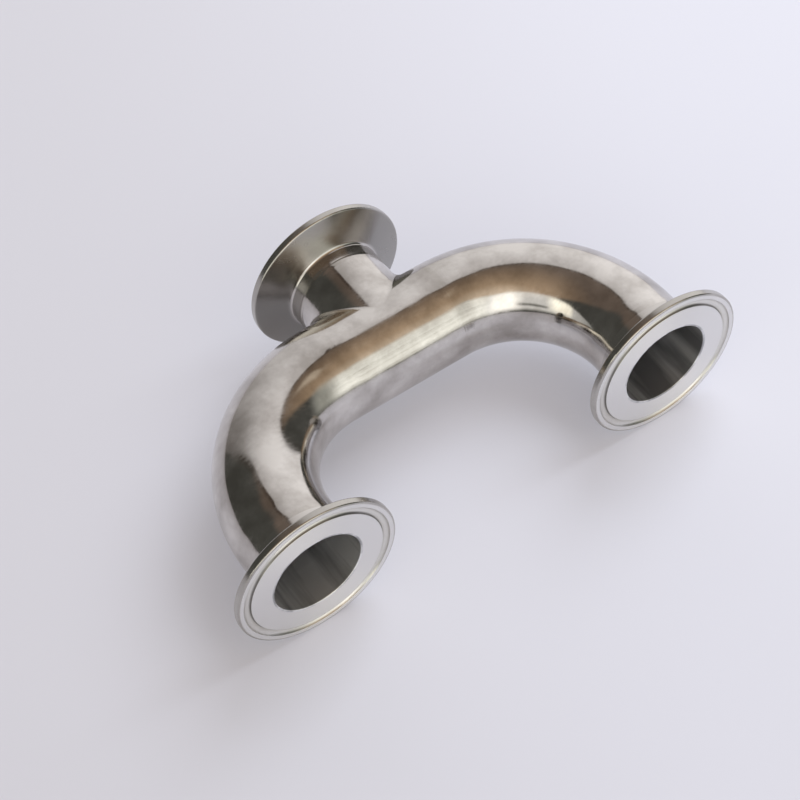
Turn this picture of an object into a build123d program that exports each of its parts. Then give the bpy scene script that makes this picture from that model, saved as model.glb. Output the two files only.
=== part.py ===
from build123d import *
import os
from math import radians, tan

os.makedirs("parts", exist_ok=True)

# Sanitary U-tee in polished stainless steel, all sizes in millimetres.
# A tee body and two elbows of thin tube carry a clamp ferrule on each of the three ports.
# The fitting lies on the rims of its ferrules, as it does on a bench.
# X runs from the left leg port to the right one, Y points to the branch port, Z is up.
# The origin is on the bench, below the middle of the fitting's outline.

# Tube, the same in the tee body, the elbows and the hubs of the ferrules
tube_od = 38.0
tube_wall = 1.5

# Tee body: a straight run with a collar drawn out of its wall
run_length = 46.0
collar_height = 27.3
collar_draft = 0.15
crotch_radius = 3.5

# Elbows: a quarter bend, with a short straight end for the ferrule
bend_radius = 50.0
elbow_straight = 3.8

# Clamp ferrules: the rim, its tapered back and the hub that is welded on
ferrule_od = 64.0
rim_thickness = 2.85
rim_edge_radius = 0.7
back_angle = 20.0
hub_length = 5.12
hub_fillet = 1.4
mouth_radius = 0.3

# Gasket groove in the ferrule's face, measured in from the rim
groove_inset = 3.85
groove_width = 3.0
groove_depth = 1.3
groove_lip_radius = 0.2

# Butt welds, ground and polished down to a trace of a crown
weld_width = 2.0
weld_crown = 0.03

# How far the cutter for the tee body's passage runs past its three ends
passage_overrun = 5.0

# Radii and lengths that follow from the sizes above
tube_radius = tube_od / 2
bore_radius = tube_radius - tube_wall
rim_radius = ferrule_od / 2
groove_radius = rim_radius - groove_inset
back_end = rim_thickness + (rim_radius - tube_radius) * tan(radians(back_angle))
ferrule_length = back_end + hub_length

# Places that follow from the pieces laid end to end
leg_rise = ferrule_length + weld_width + elbow_straight + bend_radius
branch_rise = ferrule_length + weld_width + collar_height
leg_x = run_length / 2 + weld_width + bend_radius
leg_face_y = -(leg_rise + branch_rise) / 2
run_y = leg_face_y + leg_rise
branch_face_y = run_y + branch_rise
axis_z = rim_radius

# A direction along an axis: the left and right of X, the inside of a port along Y
LEFT = -1
RIGHT = 1
TO_BRANCH = 1
TO_LEGS = -1

# How far each elbow turns, in degrees
QUARTER_TURN = 90


def ferrule(port_x, face_y, inward):
    """A turned clamp ferrule: its gasket face at face_y, its hub pointing inward."""
    port = (port_x, face_y, axis_z)
    inner_lip = groove_radius - groove_width / 2
    outer_lip = groove_radius + groove_width / 2
    # Corners that a hand, a clamp or a gasket meets, and how round each is turned
    rounded = (
        ((bore_radius, 0), mouth_radius),
        ((inner_lip, 0), groove_lip_radius),
        ((outer_lip, 0), groove_lip_radius),
        ((rim_radius, 0), rim_edge_radius),
        ((rim_radius, rim_thickness), rim_edge_radius),
        ((tube_radius, back_end), hub_fillet),
    )
    with BuildPart() as piece:
        # The half section has its radius along X, and its length along Y from the face
        with BuildSketch(Plane(origin=port, x_dir=(1, 0, 0), z_dir=(0, 0, inward))) as section:
            with BuildLine():
                Line((bore_radius, 0), (inner_lip, 0))
                ThreePointArc((inner_lip, 0), (groove_radius, groove_depth), (outer_lip, 0))
                Polyline(
                    (outer_lip, 0),
                    (rim_radius, 0),
                    (rim_radius, rim_thickness),
                    (tube_radius, back_end),
                    (tube_radius, ferrule_length),
                    (bore_radius, ferrule_length),
                    (bore_radius, 0),
                )
            make_face()
            for corner, radius in rounded:
                fillet(section.vertices().sort_by_distance(corner)[0], radius)
        revolve(axis=Axis(port, (0, 1, 0)))
    return piece


def tee_form(radius, crotch, overrun):
    """A run with one branch, as a solid of the given radius that runs past its three ends."""
    top = collar_height + overrun
    root_radius = radius - collar_height * tan(radians(collar_draft))
    top_radius = radius + overrun * tan(radians(collar_draft))
    middle = (0, run_y, axis_z)
    run_end = (-run_length / 2 - overrun, run_y, axis_z)
    with BuildPart() as form:
        with BuildSketch(Plane(origin=run_end, x_dir=(0, 0, -1), z_dir=(1, 0, 0))):
            Circle(radius)
        extrude(amount=run_length + 2 * overrun)
        # The collar narrows a hair towards the run, so the two cross in one clean edge
        with BuildSketch(Plane(origin=middle, x_dir=(0, 0, -1), z_dir=(1, 0, 0))):
            Polygon((0, 0), (root_radius, 0), (top_radius, top), (0, top), align=None)
        revolve(axis=Axis(middle, (0, 1, 0)))
        fillet(form.edges().filter_by(GeomType.BSPLINE), crotch)
    return form


def elbow(side):
    """A quarter bend of tube from the tee body's run round to a leg, with a straight end."""
    start = (side * (leg_x - bend_radius), run_y, axis_z)
    centre = (side * (leg_x - bend_radius), run_y - bend_radius, axis_z)
    end = (side * leg_x, run_y - bend_radius, axis_z)
    with BuildPart() as piece:
        with BuildSketch(Plane(origin=start, x_dir=(0, 1, 0), z_dir=(side, 0, 0))):
            Circle(tube_radius)
            Circle(bore_radius, mode=Mode.SUBTRACT)
        revolve(axis=Axis(centre, (0, 0, -side)), revolution_arc=QUARTER_TURN)
        with BuildSketch(Plane(origin=end, x_dir=(1, 0, 0), z_dir=(0, -1, 0))):
            Circle(tube_radius)
            Circle(bore_radius, mode=Mode.SUBTRACT)
        extrude(amount=elbow_straight)
    return piece


def weld(start, along):
    """A butt weld round the tube: it fills weld_width from start, with a low crown outside."""
    joint = Plane(origin=start, z_dir=along)
    with BuildPart() as bead:
        with BuildSketch(Plane(origin=start, x_dir=joint.x_dir, z_dir=joint.y_dir * -1)):
            with BuildLine():
                Polyline(
                    (tube_radius, weld_width),
                    (bore_radius, weld_width),
                    (bore_radius, 0),
                    (tube_radius, 0),
                )
                ThreePointArc(
                    (tube_radius, 0),
                    (tube_radius + weld_crown, weld_width / 2),
                    (tube_radius, weld_width),
                )
            make_face()
        revolve(axis=Axis(start, along))
    return bead


# The tee body is the outer form with the passage taken out, one wall thick all over
outside = tee_form(tube_radius, crotch_radius, 0)
passage = tee_form(bore_radius, crotch_radius + tube_wall, passage_overrun)
with BuildPart() as tee_body:
    add(outside.part)
    add(passage.part, mode=Mode.SUBTRACT)

pieces = {
    "tee_body": tee_body,
    "left_elbow": elbow(LEFT),
    "right_elbow": elbow(RIGHT),
    "left_ferrule": ferrule(LEFT * leg_x, leg_face_y, TO_BRANCH),
    "right_ferrule": ferrule(RIGHT * leg_x, leg_face_y, TO_BRANCH),
    "branch_ferrule": ferrule(0, branch_face_y, TO_LEGS),
}

# Each weld starts where one piece ends, and runs on to the next
run_end_x = run_length / 2
leg_hub_y = leg_face_y + ferrule_length
pieces["left_elbow_weld"] = weld((LEFT * run_end_x, run_y, axis_z), (LEFT, 0, 0))
pieces["right_elbow_weld"] = weld((RIGHT * run_end_x, run_y, axis_z), (RIGHT, 0, 0))
pieces["left_ferrule_weld"] = weld((LEFT * leg_x, leg_hub_y, axis_z), (0, TO_BRANCH, 0))
pieces["right_ferrule_weld"] = weld((RIGHT * leg_x, leg_hub_y, axis_z), (0, TO_BRANCH, 0))
pieces["branch_ferrule_weld"] = weld((0, branch_face_y - ferrule_length, axis_z), (0, TO_LEGS, 0))

for name, piece in pieces.items():
    piece.part.label = name
    export_step(piece.part, f"parts/{name}.step")
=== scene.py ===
# %% [markdown]
# # A polished stainless U-tee on a pale table
#
# This lesson dresses a finished CAD model: a U-shaped sanitary fitting with three clamp ferrules.
# The model's shapes are exact and stay as they are, so all of the work goes into its steel and
# into the room that the steel mirrors. Polished metal has next to no look of its own. What the
# eye reads as "stainless" is a pale table, a bright window wall, a white card and a brown ceiling,
# bent round a tube and broken up a little by the marks of polishing.

from math import cos, radians, sin

import bpy
from mathutils import Matrix, Vector


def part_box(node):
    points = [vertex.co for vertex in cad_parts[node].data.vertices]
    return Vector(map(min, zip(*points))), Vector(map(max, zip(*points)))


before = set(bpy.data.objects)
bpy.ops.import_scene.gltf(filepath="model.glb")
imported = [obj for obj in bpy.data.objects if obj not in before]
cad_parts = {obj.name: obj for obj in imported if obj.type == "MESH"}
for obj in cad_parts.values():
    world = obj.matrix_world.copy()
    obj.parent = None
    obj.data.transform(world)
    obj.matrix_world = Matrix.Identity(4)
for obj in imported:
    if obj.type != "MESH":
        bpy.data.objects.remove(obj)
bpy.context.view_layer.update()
bpy.ops.object.select_all(action="DESELECT")
print("nodes:", sorted(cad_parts))

# %% [markdown]
# ## Sizes to work with
#
# Everything is in metres. The places that the finishes need are read from the model's own boxes:
# the middle of each port's face, and the centre line of the tube, which runs straight through the
# tee, turns a quarter circle in each elbow and ends in the two legs.

# %% Measure the model
MM = 0.001
PORTS = {"left_ferrule": -1, "right_ferrule": -1, "branch_ferrule": 1}

port_middle = {}
for name, outward in PORTS.items():
    low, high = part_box(name)
    face_y = high.y if outward > 0 else low.y
    port_middle[name] = Vector(((low.x + high.x) / 2, face_y, (low.z + high.z) / 2))
    print(name, "face at", port_middle[name])

weld_low, weld_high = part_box("right_elbow_weld")
leg_weld_low, leg_weld_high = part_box("right_ferrule_weld")
leg_x, axis_z = port_middle["right_ferrule"].x, port_middle["right_ferrule"].z
run_y = (weld_low.y + weld_high.y) / 2
bend_x = weld_high.x
bend_radius = leg_x - bend_x
bend_y = run_y - bend_radius
print("bend radius", round(bend_radius / MM, 2), "mm, round", round(bend_x / MM, 2),
      round(bend_y / MM, 2))

# %% [markdown]
# ## Camera
#
# The camera stands in front and to the left of the fitting, well above it, and looks down along
# a long lens. It is placed by what it aims at, how far away it is, which way it heads, how
# steeply it looks down and how far it is rolled. An unturned camera looks straight down, so
# it is first tipped up to the level.

# %% Camera
AIM = Vector((-11.0 * MM, -11.5 * MM, 32.0 * MM))
DISTANCE = 792.0 * MM
HEADING = radians(31.23)
DOWN = radians(52.96)
ROLL = radians(-4.31)
LEVEL = radians(90)
LENS = 99.5
NEAREST_SEEN = 10 * MM

turn = Matrix.Rotation(-HEADING, 4, "Z")
turn = turn @ Matrix.Rotation(LEVEL - DOWN, 4, "X")
turn = turn @ Matrix.Rotation(ROLL, 4, "Z")
backward = (turn @ Vector((0, 0, 1))).normalized()

camera_data = bpy.data.cameras.new("camera")
camera_data.lens = LENS
camera_data.clip_start = NEAREST_SEEN
camera = bpy.data.objects.new("camera", camera_data)
camera.matrix_world = Matrix.Translation(AIM + backward * DISTANCE) @ turn
bpy.context.scene.collection.objects.link(camera)
bpy.context.scene.camera = camera
bpy.context.scene.view_settings.view_transform = "Standard"
print("camera at", camera.matrix_world.translation)

# %% [markdown]
# ## Colours and nodes
#
# A colour is written as a web colour and turned to the linear values that Cycles mixes. One
# function adds a node, sets it and links it, so that a material reads as a list of steps. An
# input is given a value, or the socket that feeds it, or a node, whose output then feeds it.

# %% Colours and nodes
def linear(hex_colour, strength=1.0):
    """A web colour such as "#c8c8c8" as linear red, green, blue and alpha, times a strength."""
    channels = [int(hex_colour[start:start + 2], 16) / 255 for start in (1, 3, 5)]
    bent = [c / 12.92 if c <= 0.04045 else ((c + 0.055) / 1.055) ** 2.4 for c in channels]
    return (*[c * strength for c in bent], 1.0)


def add_node(tree, kind, settings=None, inputs=None):
    """Adds a node with its settings, and sets or links its inputs.

    Of a node that feeds an input, the first output in use is taken.
    """
    node = tree.nodes.new("ShaderNode" + kind)
    for name, setting in (settings or {}).items():
        setattr(node, name, setting)
    for name, given in (inputs or {}).items():
        if isinstance(given, bpy.types.Node):
            given = next(output for output in given.outputs if output.enabled)
        if isinstance(given, bpy.types.NodeSocket):
            tree.links.new(given, node.inputs[name])
        else:
            node.inputs[name].default_value = given
    return node


print("middle grey is", [round(channel, 3) for channel in linear("#808080")])

# %% [markdown]
# ## The room
#
# The room is drawn in the world shader, because it is far away and lights the fitting from all
# sides. It could be built from lamps and cards, but then they would stand in the way of other
# views. Each wall is a flat panel at a compass heading: a direction is projected onto it, and
# its place across and up the panel tells whether it falls inside. Two edges may lean, because
# a card that is propped up by hand is seldom square to the table.

# %% A panel of the room
WALL_SOFTNESS = 0.05
ALMOST_NOTHING = 0.001
SLANT_FADE = 0.6
SMOOTH = {"interpolation_type": "SMOOTHSTEP"}


def panel(room, look, heading, across, height, softness=WALL_SOFTNESS, side_softness=None,
          top_lean=0.0, side_lean=0.0):
    """How far a direction falls on a flat panel one metre away that faces the fitting.

    across and height are its limits in metres from the point straight and level ahead. Its edges
    fade over the softness, and all of it fades with the slant at which it is seen, as matt card
    and blinds do. It returns the share, the place across and the place up the panel.
    """
    if side_softness is None:
        side_softness = softness
    ahead, aside, above = [
        add_node(room, "VectorMath", {"operation": "DOT_PRODUCT"}, {0: look, 1: way})
        for way in ((sin(heading), cos(heading), 0), (cos(heading), -sin(heading), 0), (0, 0, 1))
    ]
    depth = add_node(room, "Math", {"operation": "MAXIMUM"}, {0: ahead, 1: ALMOST_NOTHING})
    x = add_node(room, "Math", {"operation": "DIVIDE"}, {0: aside, 1: depth})
    y = add_node(room, "Math", {"operation": "DIVIDE"}, {0: above, 1: depth})
    leaning_x = add_node(room, "Math", {"operation": "MULTIPLY_ADD"}, {0: y, 1: side_lean, 2: x})
    leaning_y = add_node(room, "Math", {"operation": "MULTIPLY_ADD"}, {0: x, 1: -top_lean, 2: y})
    share = add_node(room, "Math", {"operation": "POWER"}, {0: depth, 1: SLANT_FADE})
    for place, edge, before, after, soft in (
        (x, across[0], 0, 1, side_softness),
        (leaning_x, across[1], 1, 0, side_softness),
        (y, height[0], 0, 1, softness),
        (leaning_y, height[1], 1, 0, softness),
    ):
        step = add_node(room, "MapRange", SMOOTH, {
            "Value": place, "From Min": edge - soft, "From Max": edge + soft,
            "To Min": before, "To Max": after})
        share = add_node(room, "Math", {"operation": "MULTIPLY"}, {0: share, 1: step})
    return share, x, y


print("a panel's edges fade over", WALL_SOFTNESS, "m unless it is told otherwise")

# %% [markdown]
# ### Walls and ceiling
#
# The walls are dark. The ceiling starts some 45 degrees up and glows brown. It comes lower and
# is lightest above the window wall, so on the tube it shows as a tan band that melts into the
# highlight on one side and darkens towards the card on the other. The room is mixed from here on
# layer by layer: each layer covers the colour so far by its own share.

# %% Walls and ceiling
WALLS = linear("#565652")
# The ceiling's colours by the direction's Y, from -1 over the window to 1 over the card
CEILING = ((-0.62, "#f2dcc0"), (-0.40, "#c6ac8f"), (-0.05, "#9a8570"), (0.25, "#7a6d63"))
CEILING_STARTS = 0.62
CEILING_IS_FULL = 0.72
CEILING_TILT = -0.2
STOPS_OF_A_NEW_RAMP = 2
IN_COLOUR = {"data_type": "RGBA"}

world = bpy.data.worlds.new("studio_room")
bpy.context.scene.world = world
world.use_nodes = True
room = world.node_tree
room.nodes.clear()
look = add_node(room, "TexCoord").outputs["Generated"]
split = add_node(room, "SeparateXYZ", inputs={"Vector": look})

towards_card = add_node(room, "MapRange", inputs={
    "Value": split.outputs["Y"], "From Min": -1, "From Max": 1})
ceiling = add_node(room, "ValToRGB", inputs={"Fac": towards_card})
ramp = ceiling.color_ramp
for number, (at, hex_colour) in enumerate(CEILING):
    place = (at + 1) / 2
    is_there = number < STOPS_OF_A_NEW_RAMP
    stop = ramp.elements[number] if is_there else ramp.elements.new(place)
    stop.position, stop.color = place, linear(hex_colour)
tilted = add_node(room, "Math", {"operation": "MULTIPLY_ADD"}, {
    0: split.outputs["Y"], 1: CEILING_TILT, 2: split.outputs["Z"]})
overhead = add_node(room, "MapRange", SMOOTH, {
    "Value": tilted, "From Min": CEILING_STARTS, "From Max": CEILING_IS_FULL})
colour = add_node(room, "Mix", IN_COLOUR, {"Factor": overhead, "A": WALLS, "B": ceiling})
print("ceiling stops:", [round(stop.position, 2) for stop in ramp.elements])

# %% [markdown]
# ### Side wall and lamp
#
# A lighter wall on the right and one small warm lamp under the ceiling fill the gap between the
# card and the window.

# %% Side wall and lamp
SIDE_WALL = linear("#d0d2c9")
SIDE_WALL_HEADING = radians(150)
CEILING_LAMP = linear("#ffefd8", 0.95)
CEILING_LAMP_HEADING = radians(105)

side_share, _, _ = panel(room, look, SIDE_WALL_HEADING, across=(-0.55, 0.3), height=(0.03, 0.95),
                         softness=0.2)
colour = add_node(room, "Mix", IN_COLOUR, {"Factor": side_share, "A": colour, "B": SIDE_WALL})
lamp_share, _, _ = panel(room, look, CEILING_LAMP_HEADING, across=(-0.24, 0.24), height=(1.5, 2.2),
                         softness=0.15)
colour = add_node(room, "Mix", IN_COLOUR, {"Factor": lamp_share, "A": colour, "B": CEILING_LAMP})
print("room nodes with side wall and lamp:", len(room.nodes))

# %% [markdown]
# ### Card
#
# Behind the fitting stands a white card, brightest where it faces the windows and shaded at its
# left end. It gives the tube its pale upper side, with a crisp edge against the brown ceiling.
# The wall right behind its upper edge is in shade, which draws a dark line along that edge.

# %% Card
CARD_HEADING = radians(40)
CARD_LIT = linear("#fdfbfb", 1.32)
CARD_SHADED = linear("#969290")
BEHIND_CARD = linear("#4a4038")
CARD_LEAN = {"top_lean": 0.94, "side_lean": 0.22}
CARD_LEFT = -1.9
CARD_IS_LIT_FROM = 0.9
LIGHTER_UPWARDS = 0.3
FAR_BELOW = -9.0

gap_share, _, _ = panel(room, look, CARD_HEADING, across=(CARD_LEFT, 1.05),
                        height=(FAR_BELOW, 3.0), softness=0.25, **CARD_LEAN)
colour = add_node(room, "Mix", IN_COLOUR, {"Factor": gap_share, "A": colour, "B": BEHIND_CARD})

card_share, card_x, card_y = panel(room, look, CARD_HEADING, across=(CARD_LEFT, 0.97),
                                   height=(FAR_BELOW, 2.5), **CARD_LEAN)
light_slope = add_node(room, "Math", {"operation": "MULTIPLY_ADD"}, {
    0: card_y, 1: LIGHTER_UPWARDS, 2: card_x})
lit = add_node(room, "MapRange", SMOOTH, {
    "Value": light_slope, "From Min": CARD_LEFT, "From Max": CARD_IS_LIT_FROM})
card = add_node(room, "Mix", IN_COLOUR, {"Factor": lit, "A": CARD_SHADED, "B": CARD_LIT})
colour = add_node(room, "Mix", IN_COLOUR, {"Factor": card_share, "A": colour, "B": card})
print("room nodes with the card:", len(room.nodes))

# %% [markdown]
# ### Window wall
#
# In front, behind the camera, is a wall of windows with thin blinds. It draws the long highlight
# along the run, and the slats of the blinds are the fine lines in it. On the left the blinds are
# open, and there the steel flashes nearly white.

# %% Blinds
BLINDS = linear("#fdfef6", 1.55)
BLINDS_HEADING = radians(165)
SLAT = linear("#c9c6b8")
SLATS_PER_METRE = 14.0
SLATS_DETAIL = 1.0
# Between these levels of the noise a slat comes in, up to this share
SLAT_LEVELS = (0.52, 0.66)
SLAT_STRENGTH = 0.7

blinds_share, _, blinds_y = panel(room, look, BLINDS_HEADING, across=(-0.30, 0.5),
                                  height=(0.05, 1.02), softness=0.07, side_softness=0.26)
colour = add_node(room, "Mix", IN_COLOUR, {"Factor": blinds_share, "A": colour, "B": BLINDS})
slats = add_node(room, "TexNoise", {"noise_dimensions": "1D"}, {
    "W": blinds_y, "Scale": SLATS_PER_METRE, "Detail": SLATS_DETAIL})
slat_share = add_node(room, "MapRange", inputs={
    "Value": slats, "From Min": SLAT_LEVELS[0], "From Max": SLAT_LEVELS[1],
    "To Max": SLAT_STRENGTH})
slat_share = add_node(room, "Math", {"operation": "MULTIPLY"}, {0: slat_share, 1: blinds_share})
colour = add_node(room, "Mix", IN_COLOUR, {"Factor": slat_share, "A": colour, "B": SLAT})
print("room nodes with the blinds:", len(room.nodes))

# %% Windows on the left
WINDOWS_HEADING = radians(-155)
# Each one's limits across and up, its softness and its colour
WINDOWS = {
    "curtain": ((-0.5, 12.0), (0.10, 1.02), 0.10, linear("#fbfbf7", 1.28)),
    "open window": ((-0.36, 0.12), (0.12, 0.98), 0.14, linear("#fffdf6", 2.0)),
    "far window": ((0.85, 1.80), (0.22, 1.05), 0.20, linear("#fffbe8", 2.2)),
    "beam": ((0.10, 0.75), (0.265, 0.375), 0.05, linear("#8a8a84")),
}

for name, (across, height, softness, glass) in WINDOWS.items():
    glass_share, _, _ = panel(room, look, WINDOWS_HEADING, across, height, softness)
    colour = add_node(room, "Mix", IN_COLOUR, {"Factor": glass_share, "A": colour, "B": glass})
    print("room nodes with the", name + ":", len(room.nodes))

shine = add_node(room, "Background", inputs={"Color": colour, "Strength": 1.0})
add_node(room, "OutputWorld", inputs={"Surface": shine})

# %% [markdown]
# ## Softbox
#
# A wide softbox over the right shoulder of the fitting lights the table, brighter on the right.
# In a studio it is flagged, so that polished steel doesn't show it as a white square, and here it
# is hidden from mirror rays for the same reason. Its light is a little cool, as daylight is.

# %% Softbox
SOFTBOX_PLACE = (0.68, 0.14, 0.92)
SOFTBOX_SIZE = 0.8
SOFTBOX_POWER = 10.4
SOFTBOX_COLOUR = (0.86, 0.93, 1.0)

bpy.ops.object.light_add(type="AREA", location=SOFTBOX_PLACE)
softbox = bpy.context.object
softbox.name = "softbox"
softbox.data.size = SOFTBOX_SIZE
softbox.data.energy = SOFTBOX_POWER
softbox.data.color = SOFTBOX_COLOUR
softbox.visible_glossy = False
softbox.rotation_euler = (-Vector(SOFTBOX_PLACE)).to_track_quat("-Z", "Y").to_euler()
print("softbox:", softbox.data.energy, "W")

# %% [markdown]
# ## Table
#
# A wide sheet of pale, faintly lavender coated board. It is large enough that its far edge stays
# out of low views. Its colour is cloudy, so that it does not look like a flat fill, and it is
# painted duller on the left and brighter on the right, as painted light from the softbox's side.
# A part of what the camera and the steel see of it is its own glow, as on a light table, which
# keeps the fitting's shadow but makes it faint.

# %% Colour of the table
CLOUD_WIDTH = 625
CLOUD_DETAIL = 2.0
CLOUD_SHARE = 0.15
# Painted light: the board is painted brighter this way and duller the other way, over the reach
# below
PAINTED_LIGHT_TOWARDS = (0.86, -0.51, 0.0)
PAINTED_LIGHT_REACH = 0.16
# The duller and the brighter tone of the board, between which lie its clouds and the painted light
BOARD_TONES = ((CLOUD_SHARE / 2, "#d6d5de"), (1.0, "#dddde8"))


def scale_for(millimetres):
    """The scale at which a texture repeats about once in so many millimetres."""
    return 1 / (millimetres * MM)


board = bpy.data.materials.new("coated_board")
board.use_nodes = True
tree = board.node_tree
tree.nodes.clear()
place = add_node(tree, "TexCoord").outputs["Object"]
along = add_node(tree, "VectorMath", {"operation": "DOT_PRODUCT"}, {
    0: place, 1: PAINTED_LIGHT_TOWARDS})
# Painted light: a slope from dull to bright across the table
light_slope = add_node(tree, "MapRange", SMOOTH, {
    "Value": along, "From Min": -PAINTED_LIGHT_REACH, "From Max": PAINTED_LIGHT_REACH})
cloud = add_node(tree, "TexNoise", inputs={
    "Vector": place, "Scale": scale_for(CLOUD_WIDTH), "Detail": CLOUD_DETAIL})
cloud_and_painted_light = add_node(tree, "Math", {"operation": "MULTIPLY_ADD"}, {0: cloud, 1: CLOUD_SHARE, 2: light_slope})
tone = add_node(tree, "ValToRGB", inputs={"Fac": cloud_and_painted_light})
for stop, (at, hex_colour) in zip(tone.color_ramp.elements, BOARD_TONES):
    stop.position, stop.color = at, linear(hex_colour)
print("table drifts from", BOARD_TONES[0][1], "to", BOARD_TONES[1][1])

# %% Table
TABLE_SIZE = 8.0
BOARD_ROUGHNESS = 0.6
BOARD_SPECULAR = 0.3
GLOW_SHARE = 0.32

sheet = add_node(tree, "BsdfPrincipled", inputs={
    "Base Color": tone, "Roughness": BOARD_ROUGHNESS, "Specular IOR Level": BOARD_SPECULAR})
glow = add_node(tree, "Emission", inputs={"Color": tone, "Strength": 1.0})
ray = add_node(tree, "LightPath").outputs
seen = add_node(tree, "Math", {"operation": "ADD"}, {
    0: ray["Is Camera Ray"], 1: ray["Is Glossy Ray"]})
seen = add_node(tree, "Math", {"operation": "ADD"}, {0: seen, 1: ray["Is Transmission Ray"]})
seen = add_node(tree, "Math", {"operation": "MULTIPLY"}, {0: seen, 1: GLOW_SHARE})
surface = add_node(tree, "MixShader", inputs={0: seen, 1: sheet, 2: glow})
add_node(tree, "OutputMaterial", inputs={"Surface": surface})

bpy.ops.mesh.primitive_plane_add(size=TABLE_SIZE, location=(0, 0, 0))
table = bpy.context.object
table.name = "table"
table.data.materials.append(board)
print("table:", table.dimensions[:])

# %% [markdown]
# ## Inside or outside
#
# The outside of such a fitting is buffed bright, but the inside keeps the dull, satin look of
# the drawn tube. Both are one surface of one solid, so the finish is told apart by the distance
# from the tube's centre lines. The left half is folded onto the right one, and what lies before or
# beyond the bend is held at its ends, so that one short recipe follows the whole U.

# %% Inside or outside
BORE_ENDS = 18.0 * MM
OUTSIDE_STARTS = 18.5 * MM
NO_LIMIT = 10.0


def bore_share(tree, place):
    """1 on the walls inside the tube and 0 outside, by the distance from its centre lines."""
    split = add_node(tree, "SeparateXYZ", inputs={"Vector": place})
    side = add_node(tree, "Math", {"operation": "ABSOLUTE"}, {0: split.outputs["X"]})
    folded = add_node(tree, "CombineXYZ", inputs={"X": side, "Y": split.outputs["Y"]})
    past = add_node(tree, "VectorMath", {"operation": "SUBTRACT"}, {
        0: folded, 1: (bend_x, bend_y, 0)})
    held = add_node(tree, "VectorMath", {"operation": "MAXIMUM"}, {0: past, 1: (0, 0, 0)})
    reach = add_node(tree, "VectorMath", {"operation": "LENGTH"}, {0: held})
    aside = add_node(tree, "Math", {"operation": "SUBTRACT"}, {0: reach, 1: bend_radius})
    above = add_node(tree, "Math", {"operation": "SUBTRACT"}, {0: split.outputs["Z"], 1: axis_z})
    off_u = add_node(tree, "CombineXYZ", inputs={"X": aside, "Y": above})
    off_u = add_node(tree, "VectorMath", {"operation": "LENGTH"}, {0: off_u})

    from_tee = add_node(tree, "VectorMath", {"operation": "SUBTRACT"}, {
        0: place, 1: (0, run_y, axis_z)})
    from_tee = add_node(tree, "VectorMath", {"operation": "MINIMUM"}, {
        0: from_tee, 1: (NO_LIMIT, 0, NO_LIMIT)})
    off_branch = add_node(tree, "VectorMath", {"operation": "LENGTH"}, {0: from_tee})
    nearest = add_node(tree, "Math", {"operation": "MINIMUM"}, {0: off_u, 1: off_branch})
    return add_node(tree, "MapRange", inputs={
        "Value": nearest, "From Min": BORE_ENDS, "From Max": OUTSIDE_STARTS,
        "To Min": 1, "To Max": 0})


print("the bore's finish ends between", BORE_ENDS / MM, "and", OUTSIDE_STARTS / MM, "mm")

# %% [markdown]
# ## Drawn inside
#
# Drawing a tube through its die leaves the wall a satin grey, with soft streaks along the tube.
# The streaks are a noise that is stretched ten times along the legs and the branch, which are
# the ends that a viewer sees into.

# %% Drawn inside
DRAWN_ROUGHNESS = 0.46
STREAK_WIDTH = 7
STREAK_DETAIL = 4.0
STREAK_STRETCH = (1.0, 0.10, 1.0)
DRAWN_TONES = ((0.40, "#a2a2a4"), (0.62, "#ececec"))


def drawn_tone(tree, place):
    """Colour of the dull inside, streaked along the legs as drawing the tube left it."""
    stretch = add_node(tree, "Mapping", inputs={"Vector": place, "Scale": STREAK_STRETCH})
    streak = add_node(tree, "TexNoise", inputs={
        "Vector": stretch, "Scale": scale_for(STREAK_WIDTH), "Detail": STREAK_DETAIL})
    tone = add_node(tree, "ValToRGB", inputs={"Fac": streak})
    for stop, (at, hex_colour) in zip(tone.color_ramp.elements, DRAWN_TONES):
        stop.position, stop.color = at, linear(hex_colour)
    return tone


print("streaks", STREAK_WIDTH, "mm wide and", STREAK_WIDTH / STREAK_STRETCH[1], "mm long")

# %% [markdown]
# ## Waves of the belt
#
# Polished tube is a mirror, but not a flat one. It waves gently where the grinding belt was
# pressed harder, and more beside the elbows' welds, which were ground flush. The waves are far
# too shallow to model, and only the mirror shows them, so they are a bump in the shading.

# %% Waves of the belt
WAVE_WIDTH = 16
WAVE_DETAIL = 1.5
WAVE_DEPTH = 0.13 * MM
WELD_WAVE_DEPTH = 0.38 * MM
elbow_weld_x = (weld_low.x + weld_high.x) / 2
ferrule_weld_y = (leg_weld_low.y + leg_weld_high.y) / 2
half_weld = (weld_high.x - weld_low.x) / 2
# For each weld: the axis along the tube, its place on that axis and how far the deeper waves reach
WELDS = (("X", elbow_weld_x, 14 * MM), ("Y", ferrule_weld_y, 8 * MM))


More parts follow.
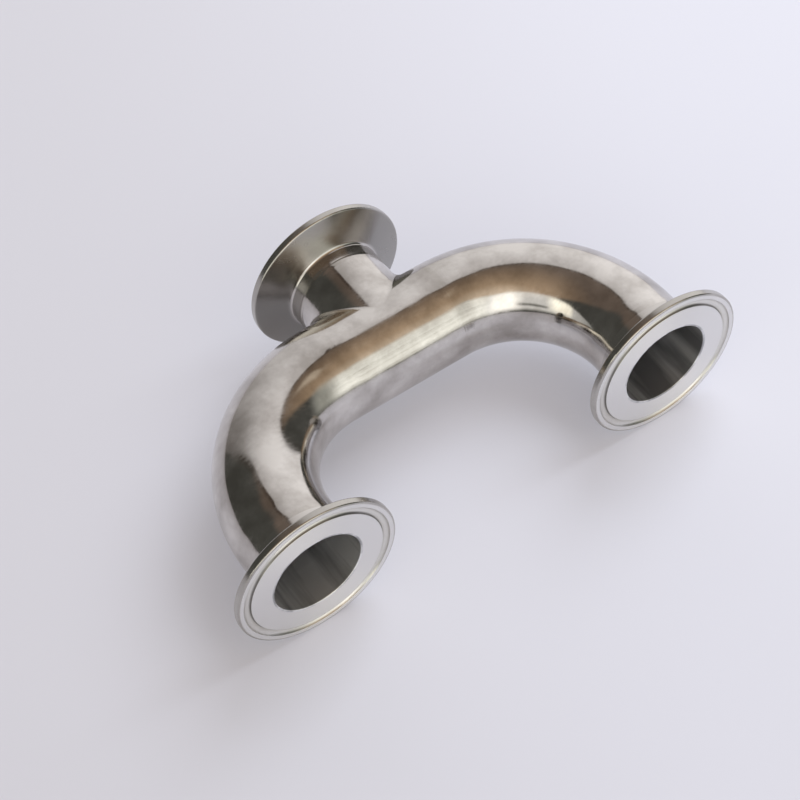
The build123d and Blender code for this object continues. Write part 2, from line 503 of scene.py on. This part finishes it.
def belt_waves(tree, place, crown):
    """Height of the waves, deeper towards the welds at both ends of each elbow.

    The crown is the height of a weld. It is taken back out of the shading, along its round
    section, because the buffing wheel has blended the real one into the tube beside it.
    """
    wave = add_node(tree, "TexNoise", inputs={
        "Vector": place, "Scale": scale_for(WAVE_WIDTH), "Detail": WAVE_DETAIL})
    split = add_node(tree, "SeparateXYZ", inputs={"Vector": place})
    relief = add_node(tree, "Math", {"operation": "MULTIPLY"}, {0: wave, 1: WAVE_DEPTH})
    for axis, at, reach in WELDS:
        along = split.outputs[axis]
        if at > 0:
            along = add_node(tree, "Math", {"operation": "ABSOLUTE"}, {0: along})
        gap = add_node(tree, "Math", {"operation": "SUBTRACT"}, {0: along, 1: at})
        near = add_node(tree, "Math", {"operation": "ABSOLUTE"}, {0: gap})
        deeper = add_node(tree, "MapRange", SMOOTH, {
            "Value": near, "From Max": reach, "To Min": WELD_WAVE_DEPTH, "To Max": 0.0})
        relief = add_node(tree, "Math", {"operation": "MULTIPLY_ADD"}, {
            0: wave, 1: deeper, 2: relief})
        if crown > 0:
            squared = add_node(tree, "Math", {"operation": "MULTIPLY"}, {0: gap, 1: gap})
            rise = add_node(tree, "Math", {"operation": "MULTIPLY_ADD"}, {
                0: squared, 1: crown / half_weld ** 2, 2: -crown})
            rise = add_node(tree, "Math", {"operation": "MINIMUM"}, {0: rise, 1: 0.0})
            relief = add_node(tree, "Math", {"operation": "ADD"}, {0: relief, 1: rise})
    return relief


print("welds at", round(elbow_weld_x / MM, 1), "and", round(ferrule_weld_y / MM, 1), "mm")

# %% [markdown]
# ## Polished tube
#
# The tee body and the elbows are 304 stainless, polished with ever finer belts and then buffed.
# That leaves a bright mirror with fine scratches, which blur it a little, and with cloudy
# patches where the buffing wheel left more or less shine. Real scratches are a hundredth of a
# millimetre wide. These are drawn coarse enough to show.

# %% Polished tube
PATCH_WIDTH = 15
PATCH_DETAIL = 5.0
PATCH_ROUGHNESS = 0.55
TUBE_TONES = ((0.36, "#aba6a1"), (0.64, "#d3cfcb"))
TUBE_ROUGHNESS = (0.05, 0.18)
SCRATCH_LENGTH = 4
SCRATCH_DETAIL = 4.0
SCRATCH_ROUGHNESS = 0.6
SCRATCH_TURN = (0.5, 0.3, 0.6)
SCRATCH_SQUEEZE = (1.0, 7.0, 1.0)
SCRATCH_DEPTH = 0.0012 * MM
# Between these levels of patches times scratches the roughness goes from smooth to rough
BLUR_LEVELS = (0.15, 0.35)


def polished_steel(name, tones, roughness, crown=0.0):
    """Buffed stainless steel, drawn grey inside, with the crown of a weld taken out of its waves."""
    material = bpy.data.materials.new(name)
    material.use_nodes = True
    tree = material.node_tree
    tree.nodes.clear()
    place = add_node(tree, "TexCoord").outputs["Object"]
    inside = bore_share(tree, place)

    patches = add_node(tree, "TexNoise", inputs={
        "Vector": place, "Scale": scale_for(PATCH_WIDTH), "Detail": PATCH_DETAIL,
        "Roughness": PATCH_ROUGHNESS})
    tone = add_node(tree, "ValToRGB", inputs={"Fac": patches})
    for stop, (at, hex_colour) in zip(tone.color_ramp.elements, tones):
        stop.position, stop.color = at, linear(hex_colour)
    tone = add_node(tree, "Mix", IN_COLOUR, {
        "Factor": inside, "A": tone, "B": drawn_tone(tree, place)})

    squeeze = add_node(tree, "Mapping", inputs={
        "Vector": place, "Rotation": SCRATCH_TURN, "Scale": SCRATCH_SQUEEZE})
    scratch = add_node(tree, "TexNoise", inputs={
        "Vector": squeeze, "Scale": scale_for(SCRATCH_LENGTH), "Detail": SCRATCH_DETAIL,
        "Roughness": SCRATCH_ROUGHNESS})
    wear = add_node(tree, "Math", {"operation": "MULTIPLY"}, {0: patches, 1: scratch})
    blur = add_node(tree, "MapRange", inputs={
        "Value": wear, "From Min": BLUR_LEVELS[0], "From Max": BLUR_LEVELS[1],
        "To Min": roughness[0], "To Max": roughness[1]})
    blur = add_node(tree, "Mix", {"data_type": "FLOAT"}, {
        "Factor": inside, "A": blur, "B": DRAWN_ROUGHNESS})

    relief = add_node(tree, "Math", {"operation": "MULTIPLY_ADD"}, {
        0: scratch, 1: SCRATCH_DEPTH, 2: belt_waves(tree, place, crown)})
    bump = add_node(tree, "Bump", inputs={"Height": relief, "Strength": 1.0, "Distance": 1.0})
    steel = add_node(tree, "BsdfPrincipled", inputs={
        "Metallic": 1.0, "Base Color": tone, "Roughness": blur, "Normal": bump})
    add_node(tree, "OutputMaterial", inputs={"Surface": steel})
    return material


buffed_tube = polished_steel("buffed_stainless_tube", TUBE_TONES, TUBE_ROUGHNESS)
for name in ("tee_body", "left_elbow", "right_elbow"):
    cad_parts[name].material_slots[0].material = buffed_tube
    print("tube finish on", name)

# %% [markdown]
# ## Ground weld
#
# Each weld was ground almost flush and buffed with the tube, so it has nearly the tube's finish,
# with the same waves running across it. A hair darker and rougher is all that is left of it. The
# low crown that the model keeps is taken out of the shading at the elbows' welds, so that no
# line shows there.

# %% Ground weld
WELD_TONES = ((0.36, "#a9a49e"), (0.64, "#d2ceca"))
WELD_ROUGHNESS = (0.06, 0.19)
WELD_CROWN = 0.03 * MM

buffed_weld = polished_steel("ground_and_buffed_weld", WELD_TONES, WELD_ROUGHNESS, WELD_CROWN)
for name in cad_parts:
    if name.endswith("_weld"):
        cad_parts[name].material_slots[0].material = buffed_weld
        print("weld finish on", name)

# %% [markdown]
# ## Turned ferrule
#
# A ferrule is turned on a lathe. Its gasket face and groove are left satin, with fine rings from
# the tool, and that is why they look so even and pale. The rim, the tapered back and the hub are
# polished after. The finish changes with the distance from the port's middle and from its face,
# both measured in Object coordinates, so one recipe serves all three, each with its own middle.

# %% Zones of a ferrule
# How far the tapered back is painted darker, as painted shade for the shaded table that it mirrors
BACK_PAINTED_SHADE = 0.7
# For each edge: what it is measured by, where it starts and ends, the share before and after it
FERRULE_EDGES = {
    "past_bore": ("radius", 17.8 * MM, 18.0 * MM, 0, 1, "LINEAR"),
    "within_rim": ("radius", 31.0 * MM, 31.4 * MM, 1, 0, "LINEAR"),
    "near_face": ("depth", 1.5 * MM, 1.6 * MM, 1, 0, "LINEAR"),
    "below_face": ("depth", 0.08 * MM, 0.20 * MM, 0, 1, "LINEAR"),
    "inner_corner": ("radius", 26.9 * MM, 27.3 * MM, 1, 0, "LINEAR"),
    "behind_rim": ("depth", 2.55 * MM, 3.35 * MM, 0, BACK_PAINTED_SHADE, "SMOOTHSTEP"),
    "off_hub": ("radius", 19.1 * MM, 20.7 * MM, 0, 1, "SMOOTHSTEP"),
    "hub": ("radius", 19.1 * MM, 20.7 * MM, 1, 0, "SMOOTHSTEP"),
}
# Each zone is where two shares overlap: the satin face, its groove, the groove's corner, the back
FERRULE_ZONES = (
    ("face_ring", "past_bore", "within_rim"),
    ("satin", "face_ring", "near_face"),
    # The groove: a little shinier than the face, and painted a little darker as painted shade in its
    # hollow
    ("groove", "below_face", "satin"),
    # The groove's inner corner, painted dark as painted shade where its inner wall lies in shadow
    ("shaded_corner", "inner_corner", "groove"),
    ("back", "behind_rim", "off_hub"),
)


def ferrule_zones(tree, radius, depth):
    """The share of each zone of a ferrule, from 0 to 1, by its name."""
    measured = {"radius": radius, "depth": depth}
    zones = {}
    for name, (by, start, end, before, after, blend) in FERRULE_EDGES.items():
        zones[name] = add_node(tree, "MapRange", {"interpolation_type": blend}, {
            "Value": measured[by], "From Min": start, "From Max": end,
            "To Min": before, "To Max": after})
    for name, first, second in FERRULE_ZONES:
        zones[name] = add_node(tree, "Math", {"operation": "MULTIPLY"}, {
            0: zones[first], 1: zones[second]})
    return zones


print("zones of a ferrule:", [name for name, _, _ in FERRULE_ZONES])

# %% [markdown]
# ### Finish of each zone
#
# The hub is as bright as the tube it is welded to, and the tapered back is painted darker, as
# painted shade for the shaded table that it mirrors. The groove is a little shinier than the face
# and painted a little darker, as painted shade in its hollow. Its inner corner is painted dark, as
# painted shade where the groove's inner wall lies in shadow.
# The tool's rings blur the mirror across them, so the satin face shines in soft sectors. Real
# rings are about a tenth of a millimetre apart. These are three times as coarse, to show at all.

# %% Finish of each zone
STAIN_WIDTH = 9
STAIN_DETAIL = 4.0
TURNED_TONES = ((0.3, "#aeaba6"), (0.7, "#bfbcb7"))
TURNED_ROUGHNESS = (0.16, 0.28)
TURNED_WAVE_DEPTH = 0.03 * MM
# The back's and the corner's tones are painted shade, the groove's is partly painted shade, the rest
# are the finish
ZONE_TONES = {"hub": "#c3bfbb", "back": "#9b9893", "satin": "#e9e8e7", "groove": "#dcdad5",
              "shaded_corner": "#85837f"}
ZONE_ROUGHNESS = {"hub": 0.13, "satin": 0.5, "groove": 0.32}
RING_PITCH = 0.35
RING_DETAIL = 2.0
RING_DEPTH = (0.0006 * MM, 0.004 * MM)
RING_SHEEN = 0.6


def turned_steel(name, middle):
    """Turned stainless: satin on the gasket face, polished on the rim, back and hub."""
    material = bpy.data.materials.new(name)
    material.use_nodes = True
    tree = material.node_tree
    tree.nodes.clear()
    place = add_node(tree, "TexCoord").outputs["Object"]
    inside = bore_share(tree, place)
    centred = add_node(tree, "VectorMath", {"operation": "SUBTRACT"}, {0: place, 1: middle})
    split = add_node(tree, "SeparateXYZ", inputs={"Vector": centred})
    outward = add_node(tree, "CombineXYZ", inputs={
        "X": split.outputs["X"], "Z": split.outputs["Z"]})
    radius = add_node(tree, "VectorMath", {"operation": "LENGTH"}, {0: outward})
    depth = add_node(tree, "Math", {"operation": "ABSOLUTE"}, {0: split.outputs["Y"]})
    zones = ferrule_zones(tree, radius, depth)

    stain = add_node(tree, "TexNoise", inputs={
        "Vector": centred, "Scale": scale_for(STAIN_WIDTH), "Detail": STAIN_DETAIL})
    tone = add_node(tree, "ValToRGB", inputs={"Fac": stain})
    for stop, (at, hex_colour) in zip(tone.color_ramp.elements, TURNED_TONES):
        stop.position, stop.color = at, linear(hex_colour)
    for zone, hex_colour in ZONE_TONES.items():
        tone = add_node(tree, "Mix", IN_COLOUR, {
            "Factor": zones[zone], "A": tone, "B": linear(hex_colour)})
    tone = add_node(tree, "Mix", IN_COLOUR, {
        "Factor": inside, "A": tone, "B": drawn_tone(tree, place)})

    blur = add_node(tree, "MapRange", inputs={
        "Value": stain, "From Min": TURNED_TONES[0][0], "From Max": TURNED_TONES[1][0],
        "To Min": TURNED_ROUGHNESS[0], "To Max": TURNED_ROUGHNESS[1]})
    for zone, roughness in ZONE_ROUGHNESS.items():
        blur = add_node(tree, "Mix", {"data_type": "FLOAT"}, {
            "Factor": zones[zone], "A": blur, "B": roughness})
    blur = add_node(tree, "Mix", {"data_type": "FLOAT"}, {
        "Factor": inside, "A": blur, "B": DRAWN_ROUGHNESS})

    # A noise draws the rings, because an even pattern would look printed
    rings = add_node(tree, "TexNoise", {"noise_dimensions": "1D"}, {
        "W": radius, "Scale": scale_for(RING_PITCH), "Detail": RING_DETAIL})
    ring_depth = add_node(tree, "MapRange", inputs={
        "Value": zones["satin"], "To Min": RING_DEPTH[0], "To Max": RING_DEPTH[1]})
    ring_height = add_node(tree, "Math", {"operation": "MULTIPLY"}, {0: rings, 1: ring_depth})
    relief = add_node(tree, "Math", {"operation": "MULTIPLY_ADD"}, {
        0: stain, 1: TURNED_WAVE_DEPTH, 2: ring_height})
    bump = add_node(tree, "Bump", inputs={"Height": relief, "Strength": 1.0, "Distance": 1.0})
    sectors = add_node(tree, "Math", {"operation": "MULTIPLY"}, {0: zones["satin"], 1: RING_SHEEN})
    steel = add_node(tree, "BsdfPrincipled", inputs={
        "Metallic": 1.0, "Base Color": tone, "Roughness": blur, "Normal": bump,
        "Tangent": outward, "Anisotropic": sectors})
    add_node(tree, "OutputMaterial", inputs={"Surface": steel})
    return material


for name in PORTS:
    finish = turned_steel("turned_stainless_" + name, port_middle[name])
    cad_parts[name].material_slots[0].material = finish
    print("turned finish on", name)
